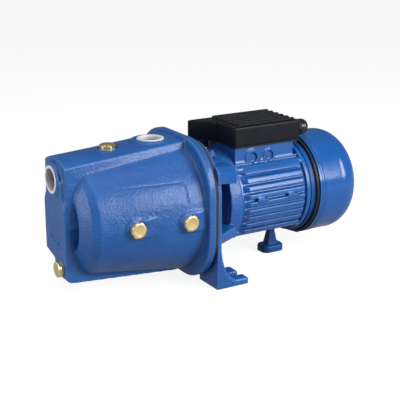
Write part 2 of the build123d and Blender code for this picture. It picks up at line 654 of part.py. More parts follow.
with BuildPart() as motor_foot:
    with BuildSketch(Plane.XY):
        with Locations((106, 0)):
            RectangleRounded(34, 25, 9)
    extrude(amount=10)
    fillet(motor_foot.edges().group_by(Axis.Z)[-1], 3)
    with BuildSketch(Plane.XY.offset(8)):
        with Locations((106, 0)):
            RectangleRounded(19, 15, 4)
    with BuildSketch(Plane.XY.offset(30)):
        with Locations((106, 0)):
            RectangleRounded(10, 9, 3)
    loft()
save(motor_foot.part, "motor_foot")

# ---------------------------------------------------------------- fan end
with BuildPart() as fan:
    add(turned((150, 7), (150, 13), (158, 14), (160, 60), (162, 60), (162, 14), (172, 13), (172, 7)))
    for i in range(7):
        y, z = around(7, 37)[i]
        with BuildSketch(Plane.YZ.offset(161.5)):
            with Locations(Location((y, z), 360 * i / 7)):
                Rectangle(46, 2.2)
        extrude(amount=17)
save(fan.part, "fan")

with BuildPart() as fan_clip:
    add(tube(172.2, 173.4, 7, 10.5))
save(fan_clip.part, "fan_clip")

SCREW_TURNS = (60, -20, -100)    # degrees round the shaft from the far side


def screw_spots(radius):
    """(y, z) of the fan cover's screws at a radius from the shaft."""
    return [(radius * cos(radians(turn)), SHAFT_Z + radius * sin(radians(turn))) for turn in SCREW_TURNS]


with BuildPart() as cover_ring:
    add(turned((RING_X, 63.8), (RING_X, 68.5), (HOUSING_X1 + 10.6, 68.5), (HOUSING_X1 + 10.6, 63.8)))
    for y, z in screw_spots(66.3):
        add(tube(HOUSING_X1 + 10, HOUSING_X1 + 22, 0, 4.5, y=y, z=z))
    add(tube(HOUSING_X1 + 10.6, HOUSING_X1 + 24, 67.5, 80), mode=Mode.SUBTRACT)
    add(tube(HOUSING_X1, HOUSING_X1 + 24, 68.5, 80), mode=Mode.SUBTRACT)
    for y, z in screw_spots(66.3):
        direction = Plane((HOUSING_X1 + 17, y, z), x_dir=(1, 0, 0), z_dir=(0, y / 66.3, (z - SHAFT_Z) / 66.3))
        with BuildSketch(direction):
            Circle(1.6)
        extrude(amount=6, both=True, mode=Mode.SUBTRACT)
save(cover_ring.part, "cover_ring")

DOME_X = COVER_X0 + 38
with BuildPart() as fan_cover:
    # outer skin from the stepped rim over the dome to the flat end, then back inside
    with BuildSketch(Plane.XZ):
        with BuildLine():
            rim = SHAFT_Z + COVER_R
            skin = Polyline((COVER_X0, rim - COVER_T), (COVER_X0, rim), (COVER_X0 + 3, rim),
                            (COVER_X0 + 4, rim - 0.8), (COVER_X0 + 7, rim - 0.8), (COVER_X0 + 8, rim - 0.2),
                            (DOME_X, rim - 0.6))
            ThreePointArc(skin @ 1, (COVER_X1 - 12, SHAFT_Z + 62.9), (COVER_X1 - 2, SHAFT_Z + 46.4))
            Polyline((COVER_X1 - 2, SHAFT_Z + 46.4), (COVER_X1, SHAFT_Z + 42), (COVER_X1, SHAFT_Z),
                     (COVER_X1 - COVER_T, SHAFT_Z), (COVER_X1 - COVER_T, SHAFT_Z + 41),
                     (COVER_X1 - 3.6, SHAFT_Z + 45.6))
            ThreePointArc((COVER_X1 - 3.6, SHAFT_Z + 45.6), (COVER_X1 - 13.2, SHAFT_Z + 61.7),
                          (DOME_X, rim - 0.6 - COVER_T))
            Polyline((DOME_X, rim - 0.6 - COVER_T), (COVER_X0 + 8, rim - COVER_T - 0.8),
                     (COVER_X0, rim - COVER_T))
        make_face()
    revolve(axis=SHAFT)
    # air inlet: rings of slots in the flat end
    for radius, count in ((12, 6), (20, 10), (28, 14), (36, 18)):
        with BuildSketch(Plane.YZ.offset(COVER_X1 - 4)):
            with Locations(*[Location((y, z), 90 + 360 * i / count)
                             for i, (y, z) in enumerate(around(count, radius))]):
                SlotOverall(9.0, 3.4)
        extrude(amount=6, mode=Mode.SUBTRACT)
    # air outlet side: screw holes through the rim
    for y, z in screw_spots(COVER_R):
        radial = Plane((HOUSING_X1 + 17, y, z), x_dir=(1, 0, 0),
                       z_dir=(0, y / COVER_R, (z - SHAFT_Z) / COVER_R))
        with BuildSketch(radial):
            Circle(1.9)
        extrude(amount=4, both=True, mode=Mode.SUBTRACT)
save(fan_cover.part, "fan_cover")

with BuildPart() as cover_screws:
    for y, z in screw_spots(1.0):
        radial = Plane((HOUSING_X1 + 17, y * (COVER_R + 0.1), SHAFT_Z + (z - SHAFT_Z) * (COVER_R + 0.1)),
                       x_dir=(1, 0, 0), z_dir=(0, y, z - SHAFT_Z))
        with BuildSketch(radial):
            Circle(3.4)
        extrude(amount=1.6, taper=18)
        with BuildSketch(radial):
            Circle(1.55)
        extrude(amount=-6)
save(cover_screws.part, "cover_screws")

# ---------------------------------------------------------------- terminal box
def box_outline(inset):
    """Plan of the terminal box with its bay, drawn smaller all round by inset."""
    with BuildSketch() as outline:
        with BuildLine():
            Polyline(
                (BOX_X0 + inset, BOX_NEAR_Y + inset), (BOX_X1 - inset, BOX_NEAR_Y + inset),
                (BOX_X1 - inset, BOX_FAR_Y - inset), (BOX_BAY_X + inset * 2.2, BOX_FAR_Y - inset),
                (BOX_X0 + inset, BOX_BAY_Y + inset * 0.3), close=True)
        make_face()
        bay_corner = outline.vertices().sort_by(Axis.X)[0]
        fillet([v for v in outline.vertices() if v != bay_corner], max(3 - inset, 0.6))
    return outline.sketch


with BuildPart() as terminal_box_base:
    with BuildSketch(Plane.XY.offset(SHELF_Z)):
        add(box_outline(0))
    extrude(amount=BOX_SEAM_Z - SHELF_Z)
    with BuildSketch(Plane.XY.offset(BOX_SEAM_Z)):
        add(box_outline(BOX_WALL + 0.15))
        add(box_outline(BOX_WALL + 1.8), mode=Mode.SUBTRACT)
    extrude(amount=3)
    # bay that hangs down in front of the pad
    with BuildSketch(Plane.XY.offset(BAY_Z)):
        with BuildLine():
            Polyline((BOX_BAY_X, BOX_FAR_Y), (9.5, 20.4), (17, 20.4), (17, BOX_FAR_Y), close=True)
        make_face()
    extrude(amount=BOX_SEAM_Z - BAY_Z)
    add(slab(66, 82, -6, 6, SHELF_Z, BOX_SEAM_Z), mode=Mode.SUBTRACT)
save(terminal_box_base.part, "terminal_box_base")

RIB_PITCH = 12.0
GLAND_Y = -27.0
GLAND_Z = 178.2
with BuildPart() as terminal_box_lid:
    with BuildSketch(Plane.XY.offset(BOX_SEAM_Z)):
        add(box_outline(0))
    extrude(amount=BOX_TOP_Z - BOX_SEAM_Z)
    chamfer(terminal_box_lid.faces().sort_by(Axis.Z)[-1].edges(), 0.9)
    # cooling style ribs along the top
    with BuildSketch(Plane.XY.offset(BOX_TOP_Z)):
        with Locations(*[((BOX_X0 + BOX_X1) / 2 + 3, -29 + RIB_PITCH * k) for k in range(6)]):
            SlotOverall(90, 5.4)
    extrude(amount=2.6, taper=10)
    with BuildSketch(Plane.XY.offset(BOX_SEAM_Z)):
        add(box_outline(BOX_WALL))
    extrude(amount=BOX_TOP_Z - BOX_SEAM_Z - BOX_WALL, mode=Mode.SUBTRACT)
    add(tube(BOX_X1 - 5, BOX_X1 + 1, 0, 8.0, y=GLAND_Y, z=GLAND_Z), mode=Mode.SUBTRACT)
save(terminal_box_lid.part, "terminal_box_lid")

with BuildPart() as terminal_block:
    add(slab(62, 98, -26, -9, BOX_SEAM_Z, 175))
    with BuildSketch(Plane.XY.offset(175)):
        with Locations(*[(70 + 10 * i, -22 + 9 * j) for i in range(3) for j in range(2)]):
            Circle(2.6)
    extrude(amount=-6, mode=Mode.SUBTRACT)
save(terminal_block.part, "terminal_block")

with BuildPart() as terminal_screws:
    for i in range(3):
        for j in range(2):
            with BuildSketch(Plane.XY.offset(169)):
                with Locations((70 + 10 * i, -22 + 9 * j)):
                    Circle(2.55)
            extrude(amount=5)
save(terminal_screws.part, "terminal_screws")

with BuildPart() as capacitor:
    with BuildSketch(Plane.YZ.offset(27)):
        with Locations((22.4, BOX_SEAM_Z + 10.7)):
            Circle(10.4)
    extrude(amount=62)
    chamfer(capacitor.edges().filter_by(GeomType.CIRCLE), 1)
save(capacitor.part, "capacitor")

with BuildPart() as gland_body:
    with BuildSketch(Plane.YZ.offset(BOX_X1)):
        with Locations((GLAND_Y, GLAND_Z)):
            RegularPolygon(10.6, 6, major_radius=False)
    extrude(amount=4)
    add(tube(BOX_X1 - 8, BOX_X1 + 12, 0, 7.9, y=GLAND_Y, z=GLAND_Z))
    add(tube(BOX_X1 - 9, BOX_X1 + 13, 0, 5.4, y=GLAND_Y, z=GLAND_Z), mode=Mode.SUBTRACT)
save(gland_body.part, "gland_body")

with BuildPart() as gland_nut:
    with BuildSketch(Plane.XZ.offset(-GLAND_Y)):
        with BuildLine():
            Polyline((BOX_X1 + 4.5, GLAND_Z + 8.0), (BOX_X1 + 4.5, GLAND_Z + 10.6), (BOX_X1 + 11, GLAND_Z + 10.6),
                     (BOX_X1 + 15, GLAND_Z + 9.0), (BOX_X1 + 17, GLAND_Z + 6.6), (BOX_X1 + 17, GLAND_Z + 4.4),
                     (BOX_X1 + 12.4, GLAND_Z + 5.6), (BOX_X1 + 12.4, GLAND_Z + 8.0), close=True)
        make_face()
    revolve(axis=Axis((0, GLAND_Y, GLAND_Z), (1, 0, 0)))
save(gland_nut.part, "gland_nut")

with BuildPart() as gland_seal:
    add(tube(BOX_X1 + 5, BOX_X1 + 12, 3.4, 5.3, y=GLAND_Y, z=GLAND_Z))
save(gland_seal.part, "gland_seal")

with BuildPart() as gland_locknut:
    with BuildSketch(Plane.YZ.offset(BOX_X1 - BOX_WALL - 3.2)):
        with Locations((GLAND_Y, GLAND_Z)):
            Circle(8.7)
            Circle(8.0, mode=Mode.SUBTRACT)
    extrude(amount=3.1)
save(gland_locknut.part, "gland_locknut")
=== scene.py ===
import json
import math

import bmesh
import bpy
import numpy as np
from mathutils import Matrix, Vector


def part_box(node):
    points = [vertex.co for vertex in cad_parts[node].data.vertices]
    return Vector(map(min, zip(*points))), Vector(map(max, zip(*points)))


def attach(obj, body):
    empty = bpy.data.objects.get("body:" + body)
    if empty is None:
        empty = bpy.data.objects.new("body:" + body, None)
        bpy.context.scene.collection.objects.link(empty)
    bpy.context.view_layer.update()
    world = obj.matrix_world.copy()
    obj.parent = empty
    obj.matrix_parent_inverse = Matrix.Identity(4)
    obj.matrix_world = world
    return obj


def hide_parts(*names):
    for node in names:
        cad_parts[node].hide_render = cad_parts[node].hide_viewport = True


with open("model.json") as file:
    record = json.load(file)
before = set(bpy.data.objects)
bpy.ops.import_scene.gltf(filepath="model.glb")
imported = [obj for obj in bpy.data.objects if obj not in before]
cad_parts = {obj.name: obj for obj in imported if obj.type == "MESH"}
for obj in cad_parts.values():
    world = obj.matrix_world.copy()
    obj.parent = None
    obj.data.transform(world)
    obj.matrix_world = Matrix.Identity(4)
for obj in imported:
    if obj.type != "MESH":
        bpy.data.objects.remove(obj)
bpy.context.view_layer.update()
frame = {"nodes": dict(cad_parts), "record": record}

bl_info = {
    "name": "Shallow Well Jet Pump",
    "version": (1, 0, 0),
    "blender": (4, 5, 0),
    "location": "View3D > Sidebar > Jet Pump",
    "description": "Cast, moulded and machined pieces of a jet pump, made around its packed frame",
    "category": "Object",
}

MM = 0.001
BODY = "pump"
SHAFT_Z = 94 * MM


# ------------------------------------------------------------------ sizes and colours

class PumpSizes(bpy.types.PropertyGroup):
    """Sizes that shape the castings and the moulded pieces."""
    cast_step: bpy.props.FloatProperty(
        name="Cast step", description="Grid step of the sand castings", default=1.15 * MM, unit="LENGTH")
    fine_step: bpy.props.FloatProperty(
        name="Fine step", description="Grid step of the die castings and mouldings", default=0.75 * MM,
        unit="LENGTH")
    fillet: bpy.props.FloatProperty(
        name="Fillet", description="Radius left in the hollow corners of a sand casting", default=2.4 * MM,
        unit="LENGTH")
    cast_edge: bpy.props.FloatProperty(
        name="Cast edge", description="Radius of a sand casting's outer edges", default=0.9 * MM,
        unit="LENGTH")
    plate_rise: bpy.props.FloatProperty(
        name="Plate rise", description="Height of the blank plate field on the barrel", default=0.45 * MM,
        unit="LENGTH")
    triangles: bpy.props.IntProperty(
        name="Triangles", description="Most triangles in one casting", default=185000)


class PumpColours(bpy.types.PropertyGroup):
    """Colours of the finishes."""
    paint: bpy.props.FloatVectorProperty(
        name="Enamel", description="Blue enamel on the castings", default=(0.007, 0.090, 0.345),
        subtype="COLOR", size=3)
    paint_thin: bpy.props.FloatVectorProperty(
        name="Thin enamel", description="Paler blue where the enamel runs thin",
        default=(0.012, 0.115, 0.405), subtype="COLOR", size=3)
    plastic: bpy.props.FloatVectorProperty(
        name="Black moulding", description="Black plastic of the box and gland",
        default=(0.004, 0.0052, 0.009), subtype="COLOR", size=3)
    brass: bpy.props.FloatVectorProperty(
        name="Brass", description="Machined brass of the plugs", default=(0.95, 0.76, 0.40),
        subtype="COLOR", size=3)
    white: bpy.props.FloatVectorProperty(
        name="White moulding", description="White plastic of the port caps", default=(0.80, 0.81, 0.82),
        subtype="COLOR", size=3)
    steel: bpy.props.FloatVectorProperty(
        name="Steel", description="Zinc plated and ground steel", default=(0.52, 0.52, 0.53),
        subtype="COLOR", size=3)


def sizes():
    return bpy.context.scene.pump_sizes


def colours():
    return bpy.context.scene.pump_colours


# ------------------------------------------------------------------ mesh making

def rounded(corners, radii, steps=5):
    """Closed outline with its corners rounded.

    Each corner is swapped for an arc that touches both of its sides: the arc's centre lies on the
    bisector, and its points turn evenly from one side's direction to the other's.
    """
    corners = np.asarray(corners, float)
    radii = np.broadcast_to(radii, len(corners))
    outline = []
    for i, corner in enumerate(corners):
        back = corners[i - 1] - corner
        ahead = corners[(i + 1) % len(corners)] - corner
        room = 0.49 * min(np.linalg.norm(back), np.linalg.norm(ahead))
        back, ahead = back / np.linalg.norm(back), ahead / np.linalg.norm(ahead)
        half = np.arccos(np.clip(back @ ahead, -1, 1)) / 2
        if radii[i] <= 0 or half > math.pi / 2 - 0.02:
            outline.append(corner)
            continue
        reach = min(radii[i] / math.tan(half), room)
        radius = reach * math.tan(half)
        middle = (back + ahead) / np.linalg.norm(back + ahead)
        centre = corner + middle * radius / math.sin(half)
        start, end = corner + back * reach - centre, corner + ahead * reach - centre
        turn = np.arctan2(start[0] * end[1] - start[1] * end[0], start @ end)
        angle = turn * np.linspace(0, 1, steps + 1)
        cosine, sine = np.cos(angle), np.sin(angle)
        outline.extend(centre + np.stack(
            [start[0] * cosine - start[1] * sine, start[0] * sine + start[1] * cosine], 1))
    return np.array(outline)


def grid_quads(rows, columns, wrap_rows):
    """Quads of a grid that is closed round its columns, and round its rows too when wrap_rows is set."""
    row = np.arange(rows if wrap_rows else rows - 1)[:, None]
    column = np.arange(columns)[None, :]
    over, along = (row + 1) % rows, (column + 1) % columns
    corners = [row * columns + column, row * columns + along,
               over * columns + along, over * columns + column]
    return np.stack(np.broadcast_arrays(*corners), -1).reshape(-1, 4)


def make_mesh(name, parts, crease=38):
    """One mesh from several (points, quads) parts, with doubles merged and its faces turned outwards."""
    points, quads, first = [], [], 0
    for part_points, part_quads in parts:
        points.append(part_points.reshape(-1, 3))
        quads.append(part_quads + first)
        first += len(points[-1])
    mesh = bpy.data.meshes.new(name)
    mesh.from_pydata(np.concatenate(points).tolist(), [], np.concatenate(quads).tolist())
    work = bmesh.new()
    work.from_mesh(mesh)
    bmesh.ops.remove_doubles(work, verts=work.verts, dist=2e-6)
    bmesh.ops.recalc_face_normals(work, faces=work.faces)
    work.to_mesh(mesh)
    work.free()
    mesh.validate()
    mesh.shade_smooth()
    mesh.set_sharp_from_angle(angle=math.radians(crease))
    return mesh


def add_piece(name, mesh, material, body=BODY, replaced=()):
    """Show a mesh as a piece that rides on a body and may stand for CAD nodes."""
    piece = bpy.data.objects.new(name, mesh)
    bpy.context.scene.collection.objects.link(piece)
    mesh.materials.clear()
    mesh.materials.append(material)
    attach(piece, body)
    if replaced:
        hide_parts(*replaced)
    return piece


def turned(profile, centre, axis, columns=96, wave=None):
    """Surface of revolution: a point at (along, radius) goes round the axis through a full turn.

    wave takes the angles and the profile's radii and gives the share by which each radius grows.
    A profile that starts and ends on the axis is closed there, and any other is closed on itself.
    """
    profile = np.asarray(profile, float)
    angle = np.linspace(0, 2 * math.pi, columns, endpoint=False)
    radius = np.repeat(profile[:, 1:2], columns, 1)
    if wave is not None:
        radius = radius * (1 + wave(angle[None, :], profile[:, 1:2], profile[:, 0:1]))
    along = np.repeat(profile[:, 0:1], columns, 1)
    cross, lift = radius * np.cos(angle), radius * np.sin(angle)
    order = {"X": (along, cross, lift), "Y": (lift, along, cross), "Z": (cross, lift, along)}[axis]
    points = np.stack(order, -1) + np.asarray(centre, float)
    on_axis = profile[0, 1] == 0 and profile[-1, 1] == 0
    return points, grid_quads(len(profile), columns, not on_axis)


def sweep(path, section, up):
    """Section carried along a straight or gently bent path, with its ends drawn in to a point.

    Every path point carries the section in the plane square to the path: the section's first
    coordinate lies across the path and its second along up.
    """
    path, section = np.asarray(path, float), np.asarray(section, float)
    up = np.asarray(up, float)
    tangent = np.gradient(path, axis=0)
    side = np.cross(tangent, up)
    side /= np.linalg.norm(side, axis=1)[:, None]
    points = path[:, None] + side[:, None] * section[None, :, :1] + up * section[None, :, 1:]
    start = np.repeat(points[:1].mean(1)[:, None], len(section), 1)
    end = np.repeat(points[-1:].mean(1)[:, None], len(section), 1)
    points = np.concatenate([start, points, end])
    return points, grid_quads(len(points), len(section), False)


def cad_surface(node):
    """Merged copy of a CAD node's mesh, as a closed surface."""
    mesh = frame["nodes"][node].data.copy()
    work = bmesh.new()
    work.from_mesh(mesh)
    bmesh.ops.remove_doubles(work, verts=work.verts, dist=1e-6)
    work.to_mesh(mesh)
    work.free()
    return mesh


def through(mesh, kind, **settings):
    """The mesh that a modifier makes of another mesh."""
    holder = bpy.data.objects.new("holder", mesh)
    bpy.context.scene.collection.objects.link(holder)
    modifier = holder.modifiers.new("step", kind)
    for name, value in settings.items():
        setattr(modifier, name, value)
    graph = bpy.context.evaluated_depsgraph_get()
    made = bpy.data.meshes.new_from_object(holder.evaluated_get(graph))
    bpy.data.objects.remove(holder)
    return made


def read_points(mesh):
    points = np.empty(len(mesh.vertices) * 3, np.float32)
    mesh.vertices.foreach_get("co", points)
    return points.reshape(-1, 3).astype(float)


def write_points(mesh, points):
    mesh.vertices.foreach_set("co", points.astype(np.float32).ravel())
    mesh.update()


def quad_normals(points, quads):
    """Unit normal at each point: the sum over its quads of the cross product of their diagonals."""
    across = np.cross(points[quads[:, 2]] - points[quads[:, 0]],
                      points[quads[:, 3]] - points[quads[:, 1]])
    total = np.stack(
        [np.bincount(quads.ravel(), np.repeat(across[:, k], 4), len(points)) for k in range(3)], 1)
    return total / np.maximum(np.linalg.norm(total, axis=1), 1e-12)[:, None]


NORMAL_EVERY = 4             # passes between two reckonings of the normals
SETTLE_PASSES = 4            # first passes, which also take the grid's steps out
SETTLE_SHARE = 0.5           # share of a point's whole height that a settling pass takes out
EVEN_SHARE = 0.25            # share of the way sideways to the neighbours' mean
FILL_SHARE = 0.7             # share of a hollow that one pass fills
WEAR_SHARE = 0.5             # share of a crest that one pass takes off


def relax(mesh, step, fillet, edge, passes):
    """Fill hollow corners and round off outer edges, as a casting's pattern does.

    A point is compared with the mean of its neighbours. On a surface of radius r the mean lies
    step squared over 4 r away, so a point moves out only where it lies deeper than the fillet's
    radius allows, in only where it stands prouder than the edge's, and sideways to even the grid.
    """
    points = read_points(mesh)
    count = len(points)
    ends = np.empty(len(mesh.edges) * 2, np.int32)
    mesh.edges.foreach_get("vertices", ends)
    ends = ends.reshape(-1, 2)
    quads = np.empty(len(mesh.loops), np.int32)
    mesh.loops.foreach_get("vertex_index", quads)
    quads = quads.reshape(-1, 4)
    share = np.bincount(ends.ravel(), minlength=count)[:, None]
    hollow_limit, crest_limit = step ** 2 / (4 * fillet), step ** 2 / (4 * edge)
    for turn in range(passes):
        mean = np.stack([
            np.bincount(ends[:, 0], points[ends[:, 1], k], count)
            + np.bincount(ends[:, 1], points[ends[:, 0], k], count) for k in range(3)], 1) / share
        if turn % NORMAL_EVERY == 0:
            normal = quad_normals(points, quads)
        shift = mean - points
        height = (shift * normal).sum(1)
        hollow = np.clip(height - hollow_limit, 0, None)
        crest = np.clip(-height - crest_limit, 0, None)
        even = EVEN_SHARE * (shift - normal * height[:, None])
        settle = SETTLE_SHARE * height if turn < SETTLE_PASSES else 0
        points += even + normal * (settle + FILL_SHARE * hollow - WEAR_SHARE * crest)[:, None]
    write_points(mesh, points)


def recast(name, node, step, fillet, edge, passes, carve=None):
    """A CAD node's surface as it comes out of a mould: gridded, with soft corners, and thinned.

    carve takes the points and gives them back moved. The result stays inside the node's own box.
    """
    mesh = through(cad_surface(node), "REMESH", mode="VOXEL", voxel_size=step, adaptivity=0.0)
    relax(mesh, step, fillet, edge, passes)
    if carve is not None:
        write_points(mesh, carve(read_points(mesh)))
    low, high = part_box(node)
    write_points(mesh, np.clip(read_points(mesh), tuple(low), tuple(high)))
    most = sizes().triangles
    triangles = 2 * len(mesh.polygons)
    if triangles > most:
        mesh = through(mesh, "DECIMATE", ratio=most / triangles)
    mesh.name = name
    mesh.shade_smooth()
    return mesh


# ------------------------------------------------------------------ finishes

PITS_PER_METRE = 900.0       # usual scale of a skin's pits and of the finer ones between them
FINES_PER_METRE = 2600.0
EDGE_RANGE = (0.51, 0.60)    # pointiness over which an outer edge's tint, part wear and part painted highlight, comes in
# pointiness over which the painted shade of a hollow comes in
PAINTED_SHADE_RANGE = (0.495, 0.44)
PATCH_FINER = 2.3            # how much finer the roughness varies than the colour
HOLLOW_SHADE = 0.38          # share of the enamel's colour kept in the painted shade of a hollow
# paler enamel for outer edges: part wear, part painted highlight
EDGE_WEAR_AND_HIGHLIGHT = (0.10, 0.26, 0.62)


def new_group(name, inputs, outputs):
    """Empty shader node group with named sockets."""
    group = bpy.data.node_groups.new(name, "ShaderNodeTree")
    for label, kind, value in inputs:
        socket = group.interface.new_socket(name=label, in_out="INPUT", socket_type=kind)
        if value is not None:
            socket.default_value = value
    for label, kind in outputs:
        group.interface.new_socket(name=label, in_out="OUTPUT", socket_type=kind)
    return group, group.nodes.new("NodeGroupInput"), group.nodes.new("NodeGroupOutput")


def noise_node(tree, scale, detail=2.0, roughness=0.5):
    node = tree.nodes.new("ShaderNodeTexNoise")
    node.inputs["Scale"].default_value = scale
    node.inputs["Detail"].default_value = detail
    node.inputs["Roughness"].default_value = roughness
    return node


def map_node(tree, low, high, to_low, to_high):
    node = tree.nodes.new("ShaderNodeMapRange")
    values = {"From Min": low, "From Max": high, "To Min": to_low, "To Max": to_high}
    for label, value in values.items():
        node.inputs[label].default_value = value
    return node


def math_node(tree, operation, second=None):
    node = tree.nodes.new("ShaderNodeMath")
    node.operation = operation
    if second is not None:
        node.inputs[1].default_value = second
    return node


def grain_group():
    """Height of a sprayed or sand cast skin: round pits of one size with finer ones between them."""
    group, given, result = new_group(
        "skin_grain", [("Vector", "NodeSocketVector", None), ("Pits", "NodeSocketFloat", PITS_PER_METRE),
                       ("Fines", "NodeSocketFloat", FINES_PER_METRE)], [("Height", "NodeSocketFloat")])
    link = group.links.new
    pits, fines = noise_node(group, PITS_PER_METRE, 1.0), noise_node(group, FINES_PER_METRE, 1.5)
    swell = noise_node(group, 90, 2.0)
    for source, label in ((pits, "Pits"), (fines, "Fines")):
        link(given.outputs["Vector"], source.inputs["Vector"])
        link(given.outputs[label], source.inputs["Scale"])
    link(given.outputs["Vector"], swell.inputs["Vector"])
    first, second = math_node(group, "MULTIPLY_ADD", 0.7), math_node(group, "MULTIPLY_ADD", 0.35)
    link(pits.outputs["Fac"], first.inputs[0])
    link(swell.outputs["Fac"], first.inputs[2])
    link(fines.outputs["Fac"], second.inputs[0])
    link(first.outputs[0], second.inputs[2])
    link(second.outputs[0], result.inputs["Height"])
    return group


def tone_group():
    """Colour that drifts slowly between two tones, with masks of outer edges, for their tint of wear and
    painted highlight, and of hollows, for their painted shade.
    """
    group, given, result = new_group(
        "tone_and_edge", [("Vector", "NodeSocketVector", None), ("Tone", "NodeSocketColor", (0, 0, 0, 1)),
                          ("Other Tone", "NodeSocketColor", (1, 1, 1, 1)), ("Scale", "NodeSocketFloat", 30.0)],
        [("Color", "NodeSocketColor"), ("Edge", "NodeSocketFloat"), ("Painted Shade", "NodeSocketFloat")])
    link = group.links.new
    drift = noise_node(group, 30, 3.0, 0.55)
    link(given.outputs["Vector"], drift.inputs["Vector"])
    link(given.outputs["Scale"], drift.inputs["Scale"])
    spread = map_node(group, 0.35, 0.7, 0.0, 1.0)
    link(drift.outputs["Fac"], spread.inputs["Value"])
    mix = group.nodes.new("ShaderNodeMix")
    mix.data_type = "RGBA"
    link(spread.outputs[0], mix.inputs["Factor"])
    link(given.outputs["Tone"], mix.inputs[6])
    link(given.outputs["Other Tone"], mix.inputs[7])
    link(mix.outputs[2], result.inputs["Color"])
    geometry = group.nodes.new("ShaderNodeNewGeometry")
    edge, hollow = map_node(group, *EDGE_RANGE, 0.0, 1.0), map_node(group, *PAINTED_SHADE_RANGE, 0.0, 1.0)
    link(geometry.outputs["Pointiness"], edge.inputs["Value"])
    link(geometry.outputs["Pointiness"], hollow.inputs["Value"])
    link(edge.outputs[0], result.inputs["Edge"])
    link(hollow.outputs[0], result.inputs["Painted Shade"])
    return group


def place_group(tree, group, **values):
    node = tree.nodes.new("ShaderNodeGroup")
    node.node_tree = group
    for label, value in values.items():
        node.inputs[label.replace("_", " ")].default_value = value
    return node


def mixed(tree, factor, first, second):
    """Colour mix whose factor and colours are sockets or plain values."""
    node = tree.nodes.new("ShaderNodeMix")
    node.data_type = "RGBA"
    for socket, value in (
            (node.inputs["Factor"], factor), (node.inputs[6], first), (node.inputs[7], second)):
        if isinstance(value, bpy.types.NodeSocket):
            tree.links.new(value, socket)
        else:
            socket.default_value = value
    return node.outputs[2]


def opaque(colour):
    return (*colour, 1.0)


def finish_of(name, tone, other, drift, pits, fines, depth, rough,
              edge=None, hollow=None, painted_inner_shade=None, sockets=()):
    """Principled finish: drifting colour, a paler tint on outer edges that is part wear and part painted
    highlight, painted shade in hollows, patchy roughness and grain.

    drift, pits and fines are noise scales per metre, and depth is the grain's depth in mm. rough is
    the least and the most roughness. The colour for a cup's inside is painted shade, which the
    piece's own attribute for it brings up where it reaches one.
    """
    material = bpy.data.materials.new(name)
    material.use_nodes = True
    tree = material.node_tree
    link = tree.links.new
    shader = tree.nodes["Principled BSDF"]
    place = tree.nodes.new("ShaderNodeTexCoord").outputs["Object"]
    colour = place_group(tree, bpy.data.node_groups["tone_and_edge"], Tone=opaque(tone),
                         Other_Tone=opaque(other), Scale=drift)
    link(place, colour.inputs["Vector"])
    shown = colour.outputs["Color"]
    # painted shade: hollow corners, found by pointiness, take a darker copy of the enamel
    if hollow is not None:
        shown = mixed(tree, colour.outputs["Painted Shade"], shown, opaque(hollow))
    # outer edges take a paler tint: part wear, part painted highlight
    if edge is not None:
        shown = mixed(tree, colour.outputs["Edge"], shown, opaque(edge))
    # painted shade inside a cup, where the piece's own attribute asks for it
    if painted_inner_shade is not None:
        painted_shade = tree.nodes.new("ShaderNodeAttribute")
        painted_shade.attribute_name = "painted_inner_shade"
        shown = mixed(tree, painted_shade.outputs["Fac"], shown, opaque(painted_inner_shade))
    link(shown, shader.inputs["Base Color"])
    patch = noise_node(tree, drift * PATCH_FINER, 3.0)
    link(place, patch.inputs["Vector"])
    spread = map_node(tree, 0.3, 0.7, *rough)
    link(patch.outputs["Fac"], spread.inputs["Value"])
    link(spread.outputs[0], shader.inputs["Roughness"])
    grain = place_group(tree, bpy.data.node_groups["skin_grain"], Pits=pits, Fines=fines)
    link(place, grain.inputs["Vector"])
    bump = tree.nodes.new("ShaderNodeBump")
    bump.inputs["Distance"].default_value = depth * MM
    bump.inputs["Strength"].default_value = 1.0
    link(grain.outputs["Height"], bump.inputs["Height"])
    link(bump.outputs["Normal"], shader.inputs["Normal"])
    for label, value in dict(sockets).items():
        shader.inputs[label].default_value = value
    return material


def striped_bump(material, scale, depth, direction="X"):
    """Add fine parallel lines to a finish's normal, as on stacked sheets, wound wire or ground steel."""
    tree = material.node_tree
    link = tree.links.new
    place = next(n for n in tree.nodes if n.type == "TEX_COORD").outputs["Object"]
    wave = tree.nodes.new("ShaderNodeTexWave")
    wave.bands_direction = direction
    wave.inputs["Scale"].default_value = scale
    wave.inputs["Distortion"].default_value = 0.4
    link(place, wave.inputs["Vector"])
    bump = tree.nodes.new("ShaderNodeBump")
    bump.inputs["Distance"].default_value = depth * MM
    link(wave.outputs["Fac"], bump.inputs["Height"])
    shader = tree.nodes["Principled BSDF"]
    link(shader.inputs["Normal"].links[0].from_socket, bump.inputs["Normal"])
    link(bump.outputs["Normal"], shader.inputs["Normal"])
    return material


